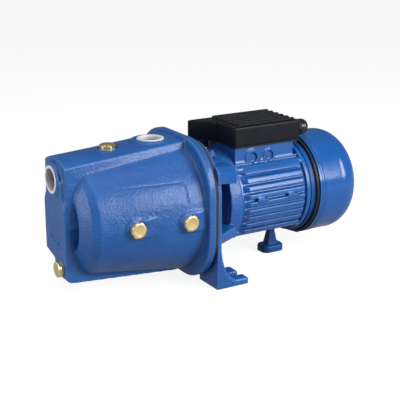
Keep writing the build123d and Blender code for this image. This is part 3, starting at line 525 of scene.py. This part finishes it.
def build_finishes():
    """All the finishes, by name."""
    grain_group()
    tone_group()
    tint = colours()
    paint, thin = tuple(tint.paint), tuple(tint.paint_thin)
    # painted shade: the enamel darkened, for hollows and for parts that lie in shade
    painted_shade = tuple(HOLLOW_SHADE * c for c in paint)
    enamel = {"Coat Weight": 0.18, "Coat Roughness": 0.2, "Specular IOR Level": 0.5}
    made = {
        "sand_cast_enamel": finish_of("sand_cast_enamel", paint, thin, 22, 400, 1100, 0.85, (0.32, 0.44),
                                      edge=EDGE_WEAR_AND_HIGHLIGHT, hollow=painted_shade, sockets=enamel),
        "die_cast_enamel": finish_of("die_cast_enamel", paint, thin, 26, 900, 2600, 0.06, (0.26, 0.36),
                                     edge=EDGE_WEAR_AND_HIGHLIGHT, hollow=painted_shade, sockets=enamel),
        # painted shade: a darkened copy of the enamel
        "painted_shade_enamel": finish_of("painted_shade_enamel", painted_shade, paint, 26, 900, 2600, 0.06, (0.34, 0.46),
                                   sockets={"Specular IOR Level": 0.35}),
        "pressed_enamel": finish_of("pressed_enamel", paint, thin, 14, 300, 1400, 0.03, (0.14, 0.22),
                                    sockets=enamel),
        # its outer edges are lightened: part wear, part painted highlight
        "black_moulding": finish_of("black_moulding", tint.plastic, (0.006, 0.0075, 0.012), 40, 1500, 4200,
                                    0.02, (0.34, 0.48), edge=(0.02, 0.024, 0.032),
                                    sockets={"Specular IOR Level": 0.2}),
        "gloss_black": finish_of("gloss_black", tint.plastic, (0.015, 0.016, 0.018), 40, 900, 4200, 0.008,
                                 (0.14, 0.24)),
        "black_rubber": finish_of("black_rubber", (0.018, 0.018, 0.018), (0.03, 0.03, 0.03), 60, 1800, 5200,
                                  0.02, (0.55, 0.75)),
        "machined_brass": finish_of("machined_brass", tint.brass, (0.86, 0.66, 0.32), 160, 1900, 5200, 0.02,
                                    (0.28, 0.44), sockets={"Metallic": 1.0}),
        # the caps' insides get a dark grey as painted shade
        "white_moulding": finish_of("white_moulding", tint.white, (0.74, 0.76, 0.80), 45, 1200, 3600, 0.008,
                                    (0.28, 0.4), painted_inner_shade=(0.13, 0.14, 0.16)),
        "grey_moulding": finish_of("grey_moulding", (0.10, 0.105, 0.11), (0.14, 0.145, 0.15), 50, 1400, 3800,
                                   0.012, (0.42, 0.55)),
        "zinc_steel": finish_of("zinc_steel", tint.steel, (0.62, 0.62, 0.60), 120, 1400, 4800, 0.012,
                                (0.24, 0.42), sockets={"Metallic": 1.0}),
        "ceramic": finish_of("ceramic", (0.78, 0.75, 0.68), (0.84, 0.82, 0.76), 80, 2000, 6000, 0.004,
                             (0.12, 0.2)),
        "carbon": finish_of("carbon", (0.03, 0.03, 0.032), (0.05, 0.05, 0.052), 140, 2200, 6000, 0.006,
                            (0.3, 0.42)),
        "pale_fibre": finish_of("pale_fibre", (0.62, 0.56, 0.44), (0.72, 0.67, 0.55), 220, 1500, 5200, 0.03,
                                (0.6, 0.8)),
    }
    made["stacked_sheet"] = striped_bump(
        finish_of("stacked_sheet", (0.22, 0.22, 0.23), (0.30, 0.29, 0.28), 90, 1200, 4000, 0.01, (0.4, 0.55),
                  sockets={"Metallic": 1.0}), 320, 0.05)
    made["wound_copper"] = striped_bump(
        finish_of("wound_copper", (0.50, 0.17, 0.06), (0.62, 0.25, 0.10), 120, 1200, 4000, 0.01, (0.25, 0.4),
                  sockets={"Metallic": 1.0}), 210, 0.12, "Y")
    made["ground_steel"] = striped_bump(
        finish_of("ground_steel", tint.steel, (0.60, 0.60, 0.61), 120, 1600, 5200, 0.006, (0.16, 0.28),
                  sockets={"Metallic": 1.0}), 420, 0.006)
    return made


FINISH_OF_SLOT = {
    "cast_blue": "sand_cast_enamel", "housing_blue": "die_cast_enamel", "cover_blue": "pressed_enamel",
    "black_plastic": "black_moulding", "white_plastic": "white_moulding", "grey_plastic": "grey_moulding",
    "brass": "machined_brass", "steel": "zinc_steel", "core_steel": "stacked_sheet",
    "copper_coils": "wound_copper", "black_rubber": "black_rubber", "ceramic": "ceramic",
    "carbon": "carbon", "fibre": "pale_fibre",
}
FINISH_OF_NODE = {
    "shaft": "ground_steel", "front_bearing_balls": "ground_steel", "rear_bearing_balls": "ground_steel",
    "front_bearing_inner_ring": "ground_steel", "front_bearing_outer_ring": "ground_steel",
    "rear_bearing_inner_ring": "ground_steel", "rear_bearing_outer_ring": "ground_steel",
    # the rear shield and the motor foot lie in shade, painted on as the darkened enamel; the casing bolts,
    # enamelled over with the casing, take it too
    "casing_bolts": "painted_shade_enamel", "rear_shield": "painted_shade_enamel", "gland_nut": "gloss_black",
}


def finish(name):
    return bpy.data.materials[name]


class PUMP_OT_finishes(bpy.types.Operator):
    """Make every finish and give each CAD node the one of its material slot"""
    bl_idname = "pump.finishes"
    bl_label = "Finishes"

    def execute(self, context):
        build_finishes()
        slots = {row["node"]: row["material_slot"] for row in frame["record"]["subparts"]}
        for node, piece in frame["nodes"].items():
            chosen = FINISH_OF_NODE.get(node, FINISH_OF_SLOT[slots[node]])
            piece.data.materials.clear()
            piece.data.materials.append(finish(chosen))
        return {"FINISHED"}


# ------------------------------------------------------------------ stage

CAMERA_TURN = 59.36          # degrees from the shaft to the line of sight, seen from above
CAMERA_DIP = 17.11           # degrees that the line of sight looks down
CAMERA_DISTANCE = 1.25023
CAMERA_TARGET = (-0.00766, 0.0, 0.09012)
SENSOR = 36.0
LENS = 85.594
# name: (place, size in metres, power in watts)
SOFT_LIGHTS = {
    "key_soft_box": ((0.62, -1.25, 0.72), 0.85, 25.0),
    "high_soft_box": ((-0.3, -0.2, 1.7), 1.3, 8.0),
    "front_fill": ((-1.5, 0.15, 0.45), 1.1, 13.0),
}
FLOOR_GLOW = (0.06, 0.24)    # light that the pale floor sends up, and how bright its mirror image is
FILL_LEVEL = 0.16            # light from all round, as seen by the object
FLOOR_LEVEL = 0.88           # how bright the floor is to the camera
FLOOR_GREY = (0.22, 0.22, 0.22, 1)
FLOOR_REACH = 6.0
FLOOR_DROP = 0.0002          # gap under the feet, so that they don't flicker on the floor
WHITE = (1, 1, 1, 1)


class PUMP_OT_stage(bpy.types.Operator):
    """Put down the pale floor, the soft lights and the camera"""
    bl_idname = "pump.stage"
    bl_label = "Stage"

    def execute(self, context):
        scene = context.scene
        turn, dip = math.radians(CAMERA_TURN), math.radians(CAMERA_DIP)
        sight = Vector((math.cos(turn) * math.cos(dip), math.sin(turn) * math.cos(dip), -math.sin(dip)))
        camera = bpy.data.objects.new("camera", bpy.data.cameras.new("camera"))
        scene.collection.objects.link(camera)
        camera.location = Vector(CAMERA_TARGET) - sight * CAMERA_DISTANCE
        camera.rotation_euler = sight.to_track_quat("-Z", "Y").to_euler()
        camera.data.sensor_width = SENSOR
        camera.data.lens = LENS
        scene.camera = camera
        for name, (place, size, power) in SOFT_LIGHTS.items():
            data = bpy.data.lights.new(name, "AREA")
            data.size, data.energy = size, power
            light = bpy.data.objects.new(name, data)
            light.location = place
            aim = Vector(CAMERA_TARGET) - light.location
            light.rotation_euler = aim.to_track_quat("-Z", "Y").to_euler()
            scene.collection.objects.link(light)
        scene.world = world = bpy.data.worlds.new("studio")
        world.use_nodes = True
        tree = world.node_tree
        path = tree.nodes.new("ShaderNodeLightPath")
        level = map_node(tree, 0, 1, FILL_LEVEL, 1.0)
        tree.links.new(path.outputs["Is Camera Ray"], level.inputs["Value"])
        tree.links.new(level.outputs[0], tree.nodes["Background"].inputs["Strength"])
        tree.nodes["Background"].inputs["Color"].default_value = WHITE
        scene.view_settings.view_transform = "Standard"
        paper = bpy.data.materials.new("pale_paper")
        paper.use_nodes = True
        tree = paper.node_tree
        shader = tree.nodes["Principled BSDF"]
        shader.inputs["Base Color"].default_value = FLOOR_GREY
        shader.inputs["Roughness"].default_value = 0.9
        shader.inputs["Emission Color"].default_value = WHITE
        path = tree.nodes.new("ShaderNodeLightPath")
        glow = map_node(tree, 0, 1, *FLOOR_GLOW)
        level = map_node(tree, 0, 1, 0, FLOOR_LEVEL)
        tree.links.new(path.outputs["Is Glossy Ray"], glow.inputs["Value"])
        tree.links.new(path.outputs["Is Camera Ray"], level.inputs["Value"])
        tree.links.new(glow.outputs[0], level.inputs["To Min"])
        tree.links.new(level.outputs[0], shader.inputs["Emission Strength"])
        reach = FLOOR_REACH
        mesh = bpy.data.meshes.new("floor")
        mesh.from_pydata([(-reach, -reach, 0), (reach, -reach, 0), (reach, reach, 0), (-reach, reach, 0)],
                         [], [(0, 1, 2, 3)])
        mesh.materials.append(paper)
        floor = bpy.data.objects.new("floor", mesh)
        floor.location.z = -FLOOR_DROP
        scene.collection.objects.link(floor)
        return {"FINISHED"}


# ------------------------------------------------------------------ castings

PLATE_X = (-160.0 * MM, -73.0 * MM)      # blank plate field on the barrel's near side
PLATE_Z = (106.0 * MM, 139.5 * MM)
PLATE_CORNER = 5.0 * MM
PLATE_BLEND = 1.6 * MM                   # width of the step up to the plate
GROOVE_DEPTH = 0.5 * MM
GROOVE_WIDTH = 1.2 * MM
NEAR_SIDE_Y = -40 * MM                   # the plate lies nearer than this, and out on the barrel's skin
SKIN_RADIUS = 68 * MM
PLATE_FADE = (30 * MM, 14 * MM)          # how far it fades along X from its front and up Z from its foot
JOINT_X = (-40.4 * MM, -35.3 * MM)       # faces of the flange and the bracket, at the gasket
CASTING_PASSES = 18
BRACKET_CORNERS = (2.0 * MM, 0.7 * MM, 14)        # hollow radius, edge radius, passes
FIN_CORNERS = (0.9 * MM, 0.6 * MM, 9)
FOOT_MOULD = (0.6 * MM, 4.0 * MM, 1.2 * MM, 24)   # grid step, then as above
LID_MOULD = (0.8 * MM, 1.0 * MM, 0.8 * MM, 8)


def smooth_step(value):
    value = np.clip(value, 0, 1)
    return value * value * (3 - 2 * value)


def raise_plate(points):
    """Raise a rounded rectangle on the near side of the barrel, with a fine groove round it.

    The rise follows the signed distance to the rounded rectangle in the XZ plane: full inside,
    none outside, with a smooth step between, less a narrow bell shaped groove on the outline. Both
    fade out towards the front and towards the foot, where the field runs into the barrel.
    """
    middle = np.array([sum(PLATE_X) / 2, sum(PLATE_Z) / 2])
    half = np.array([PLATE_X[1] - PLATE_X[0], PLATE_Z[1] - PLATE_Z[0]]) / 2 - PLATE_CORNER
    away = np.abs(points[:, [0, 2]] - middle) - half
    beyond = np.linalg.norm(np.clip(away, 0, None), axis=1)
    distance = (beyond + np.minimum(away.max(1), 0)) - PLATE_CORNER
    out = points * (0, 1, 1) - (0, 0, SHAFT_Z)
    radius = np.linalg.norm(out, axis=1)
    outside = (points[:, 1] < NEAR_SIDE_Y) & (radius > SKIN_RADIUS)
    rise = sizes().plate_rise * (1 - smooth_step(distance / PLATE_BLEND + 0.5))
    groove = GROOVE_DEPTH * np.exp(-(distance / GROOVE_WIDTH - 1.2) ** 2)
    fade = (smooth_step((points[:, 0] - PLATE_X[0]) / PLATE_FADE[0])
            * smooth_step((points[:, 2] - PLATE_Z[0]) / PLATE_FADE[1]))
    amount = np.where(outside, (rise - groove) * fade, 0)
    return points + out / np.maximum(radius, 1e-6)[:, None] * amount[:, None]


# flow arrow on the front face: tail, tip and the ends of its two barbs, as (y, z) in mm
ARROW_SPOTS = ((21.0, 74.5), (-12.0, 65.0), (-6.5, 73.0), (0.5, 60.5))
ARROW_SECTION = [(-1.1, -0.6), (1.1, -0.6), (0.6, 0.8), (-0.6, 0.8)]     # across and out, in mm
ARROW_STEPS = 9
ARROW_SINK = 2.0 * MM                    # from the casing's foremost point back to the arrow's middle


def finish_casing(points):
    """Raise the plate field, and draw the flange back a little so that the joint shows."""
    return np.minimum(raise_plate(points), (JOINT_X[0], 1, 1))


class PUMP_OT_casing(bpy.types.Operator):
    """Cast the pump casing and its raised flow arrow"""
    bl_idname = "pump.casing"
    bl_label = "Pump casing"

    def execute(self, context):
        size = sizes()
        mesh = recast("cast_casing", "pump_casing", size.cast_step, size.fillet, size.cast_edge,
                      CASTING_PASSES, finish_casing)
        add_piece("cast_casing", mesh, finish("sand_cast_enamel"), replaced=["pump_casing"])
        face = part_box("pump_casing")[0].x + ARROW_SINK
        tail, tip, *barbs = (np.array(spot) * MM for spot in ARROW_SPOTS)
        section = rounded(ARROW_SECTION, 0.25, 3) * MM
        share = np.linspace(0, 1, ARROW_STEPS)[:, None]
        strokes = []
        for start in (tail, *barbs):
            flat = start + (tip - start) * share
            path = np.concatenate([np.full((ARROW_STEPS, 1), face), flat], 1)
            strokes.append(sweep(path, section, (-1, 0, 0)))
        add_piece("flow_arrow", make_mesh("flow_arrow", strokes), finish("sand_cast_enamel"))
        return {"FINISHED"}


class PUMP_OT_gasket(bpy.types.Operator):
    """Cut the dark joint gasket between the flange and the bracket: a rounded oblong and the same one
    drawn in towards its middle, joined by flat faces"""
    bl_idname = "pump.gasket"
    bl_label = "Joint gasket"

    def execute(self, context):
        nip = 0.1 * MM           # how far the gasket presses into each face
        front, back = JOINT_X[0] - nip, JOINT_X[1] + nip
        half, low, high, corner, width = 91.2 * MM, 8 * MM, 183 * MM, 63.5 * MM, 9 * MM
        outer = rounded([(-half, low), (half, low), (half, high), (-half, high)], corner, steps=24)
        middle = np.array([0, (low + high) / 2])
        inner = middle + (outer - middle) * (1 - width / half)
        rings = [(front, outer), (back, outer), (back, inner), (front, inner)]
        points = np.stack([np.column_stack([np.full(len(ring), x), ring]) for x, ring in rings])
        parts = [(points, grid_quads(len(rings), len(outer), True))]
        add_piece("joint_gasket", make_mesh("joint_gasket", parts), finish("black_rubber"))
        return {"FINISHED"}


class PUMP_OT_bracket(bpy.types.Operator):
    """Cast the motor bracket with its feet, and the foot under the motor"""
    bl_idname = "pump.bracket"
    bl_label = "Bracket and foot"

    def execute(self, context):
        size = sizes()
        mesh = recast("cast_bracket", "motor_bracket", size.cast_step, *BRACKET_CORNERS,
                      lambda points: np.maximum(points, (JOINT_X[1], -1, -1)))
        add_piece("cast_bracket", mesh, finish("sand_cast_enamel"), replaced=["motor_bracket"])
        mesh = recast("cast_motor_foot", "motor_foot", *FOOT_MOULD)
        # painted shade: the foot under the motor takes the darkened enamel
        add_piece("cast_motor_foot", mesh, finish("painted_shade_enamel"), replaced=["motor_foot"])
        return {"FINISHED"}


class PUMP_OT_housing(bpy.types.Operator):
    """Cast the finned motor housing"""
    bl_idname = "pump.housing"
    bl_label = "Motor housing"

    def execute(self, context):
        mesh = recast("finned_housing", "motor_housing", sizes().fine_step, *FIN_CORNERS)
        add_piece("finned_housing", mesh, finish("die_cast_enamel"),
                  replaced=["motor_housing"])
        return {"FINISHED"}


BEAD_STARTS = (3.2 * MM, 9.2 * MM)       # from the fan cover's rim to where each bead begins
BEAD_RISE = 0.1 * MM
BEAD_SINK = 1.0 * MM


class PUMP_OT_cover_beads(bpy.types.Operator):
    """Roll the two beads round the fan cover's rim: a low ridge with flanks, turned about the shaft"""
    bl_idname = "pump.cover_beads"
    bl_label = "Fan cover beads"

    def execute(self, context):
        low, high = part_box("fan_cover")
        radius = (high.z - low.z) / 2
        parts = []
        for start in BEAD_STARTS:
            ridge = rounded([(start, radius - BEAD_SINK), (start + 0.4 * MM, radius + BEAD_RISE),
                             (start + 1.3 * MM, radius + BEAD_RISE), (start + 1.7 * MM, radius - BEAD_SINK)],
                            0.3 * MM, 3)
            parts.append(turned(ridge, (low.x, 0, SHAFT_Z), "X", 160))
        add_piece("cover_beads", make_mesh("cover_beads", parts), finish("pressed_enamel"))
        return {"FINISHED"}


class PUMP_OT_terminal_box(bpy.types.Operator):
    """Mould the ribbed lid of the terminal box"""
    bl_idname = "pump.terminal_box"
    bl_label = "Terminal box"

    def execute(self, context):
        mesh = recast("ribbed_lid", "terminal_box_lid", *LID_MOULD)
        add_piece("ribbed_lid", mesh, finish("black_moulding"),
                  replaced=["terminal_box_lid"])
        return {"FINISHED"}


# ------------------------------------------------------------------ turned and hexagon pieces

PLUG_FLAT = 9.5 * MM                     # half the width across flats
PLUG_CORNER = 10.2 * MM                  # radius at which the corners are cut
SHANK_RADIUS = 7.3 * MM
SHANK_TIP = 6.4 * MM
FULL_SHARE = 0.985                       # share of the flat's radius from which a ring is a hexagon


def hexagon_wave(flat, corner):
    """Share by which a circle grows to a hexagon of half width flat, its corners cut at radius corner.

    The reach of a hexagon's side at a turn t from its middle is flat over cos t. The chamfer cone
    lets the full reach show only below the top rim, where the profile's radius is the flat's own.
    """
    def grow(angle, radius, along):
        turn = (angle + math.pi / 6) % (math.pi / 3) - math.pi / 6
        reach = np.minimum(flat / np.cos(turn), corner)
        return np.where(radius >= FULL_SHARE * flat, reach / flat - 1, 0)
    return grow


def hex_plug(seat, axis, sign, head, shank):
    """Plug of one profile: a shank, a hexagon head with a chamfered rim, and a faintly dished top."""
    flat = PLUG_FLAT
    profile = np.array([
        (-shank, 0), (-shank, SHANK_TIP), (-shank + 1 * MM, SHANK_RADIUS), (0, SHANK_RADIUS), (0, flat),
        (0.5 * head, flat), (head - 1.1 * MM, flat), (head - 0.25 * MM, 0.955 * flat), (head, 0.90 * flat),
        (head, 0.72 * flat), (head - 0.12 * MM, 0.66 * flat), (head - 0.2 * MM, 0)])
    return turned(profile * (sign, 1), seat, axis, 120, hexagon_wave(flat, PLUG_CORNER))


SIDE_SEATS = ((-138.6, -76.5, 94.0), (-71.7, -84.9, 94.0))    # of the side plugs' washers, in mm


class PUMP_OT_plugs(bpy.types.Operator):
    """Turn and mill the brass plugs with their hexagon heads"""
    bl_idname = "pump.plugs"
    bl_label = "Brass plugs"

    def execute(self, context):
        washer, head, shank = 1.2 * MM, 4.8 * MM, 9 * MM
        for node, axis, sign in (("priming_plug", "Z", 1), ("drain_plug", "X", -1), ("side_plugs", "Y", -1)):
            along = "XYZ".index(axis)
            if node == "side_plugs":
                seats = [np.array(seat) * MM for seat in SIDE_SEATS]
            else:
                low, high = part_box(node)
                seat = np.array((low + high) / 2)
                seat[along] = (high if sign > 0 else low)[along] - sign * (head + washer)
                seats = [seat]
            parts = []
            for seat in seats:
                seat[along] += sign * washer
                parts.append(hex_plug(seat, axis, sign, head, shank))
            mesh = make_mesh(f"brass_{node}", parts, crease=30)
            add_piece(f"brass_{node}", mesh, finish("machined_brass"), replaced=[node])
        return {"FINISHED"}


# half section of a port cap as (in from the mouth, radius) in mm: rim, skirt, closed end, tapered inside
CAP_CORNERS = ((0, 13.7), (0, 17.2), (-1.3, 17.2), (-1.3, 14.95), (-14.3, 14.9), (-14.3, 0), (-12.6, 0),
               (-12.6, 13.2))
CAP_RADII = (0.6, 0.55, 0.2, 0.2, 0.9, 0, 0, 1.2)
CAP_INSIDE = 14.0 * MM                   # points within this radius can lie inside the cap
SHADE_DEPTH = 3 * MM                     # depth at which the painted shade inside the cap is full


class PUMP_OT_caps(bpy.types.Operator):
    """Turn the two white port caps"""
    bl_idname = "pump.caps"
    bl_label = "Port caps"

    def execute(self, context):
        for node, axis, end in (("suction_cap", "X", 0), ("discharge_cap", "Z", 1)):
            low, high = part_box(node)
            along = "XYZ".index(axis)
            sign = -1 if end == 0 else 1
            mouth = (low if end == 0 else high)[along]
            centre = (low + high) / 2
            centre[along] = mouth
            profile = rounded(np.array(CAP_CORNERS) * MM, np.array(CAP_RADII) * MM, 5)
            profile = np.roll(profile, -int(np.argmax(profile[:, 1] == 0)) - 1, axis=0)
            points = turned(profile * (sign, 1), centre, axis, 128)
            mesh = make_mesh(f"white_{node}", [points])
            # painted shade inside the cup: full a few mm in from the mouth, within the inner radius
            place = read_points(mesh) - np.array(centre)
            depth = -sign * place[:, along]
            place[:, along] = 0
            within = np.linalg.norm(place, axis=1) < CAP_INSIDE
            amount = np.where(within, smooth_step(depth / SHADE_DEPTH), 0)
            shade = mesh.attributes.new("painted_inner_shade", "FLOAT", "POINT")
            shade.data.foreach_set("value", amount.astype(np.float32))
            add_piece(f"white_{node}", mesh, finish("white_moulding"), body=node,
                      replaced=[node])
        return {"FINISHED"}


CLASSES = (
    PumpSizes, PumpColours, PUMP_OT_finishes, PUMP_OT_stage, PUMP_OT_casing, PUMP_OT_gasket,
    PUMP_OT_bracket, PUMP_OT_housing, PUMP_OT_cover_beads, PUMP_OT_terminal_box, PUMP_OT_plugs,
    PUMP_OT_caps)
STEPS = (
    bpy.ops.pump.finishes, bpy.ops.pump.stage, bpy.ops.pump.casing, bpy.ops.pump.gasket,
    bpy.ops.pump.bracket, bpy.ops.pump.housing, bpy.ops.pump.cover_beads, bpy.ops.pump.terminal_box,
    bpy.ops.pump.plugs, bpy.ops.pump.caps)


class PUMP_PT_panel(bpy.types.Panel):
    """Sidebar list of the pump's steps and sizes"""
    bl_label = "Jet Pump"
    bl_space_type = "VIEW_3D"
    bl_region_type = "UI"
    bl_category = "Jet Pump"

    def draw(self, context):
        column = self.layout.column()
        for cls in CLASSES:
            if issubclass(cls, bpy.types.Operator):
                column.operator(cls.bl_idname)
        for group in (context.scene.pump_sizes, context.scene.pump_colours):
            for name in group.bl_rna.properties.keys():
                if name not in ("rna_type", "name"):
                    column.prop(group, name)


def register():
    for cls in (*CLASSES, PUMP_PT_panel):
        bpy.utils.register_class(cls)
    bpy.types.Scene.pump_sizes = bpy.props.PointerProperty(type=PumpSizes)
    bpy.types.Scene.pump_colours = bpy.props.PointerProperty(type=PumpColours)


def unregister():
    del bpy.types.Scene.pump_colours
    del bpy.types.Scene.pump_sizes
    for cls in reversed((*CLASSES, PUMP_PT_panel)):
        bpy.utils.unregister_class(cls)


def main():
    register()
    for step in STEPS:
        step()


if __name__ == "__main__":
    main()
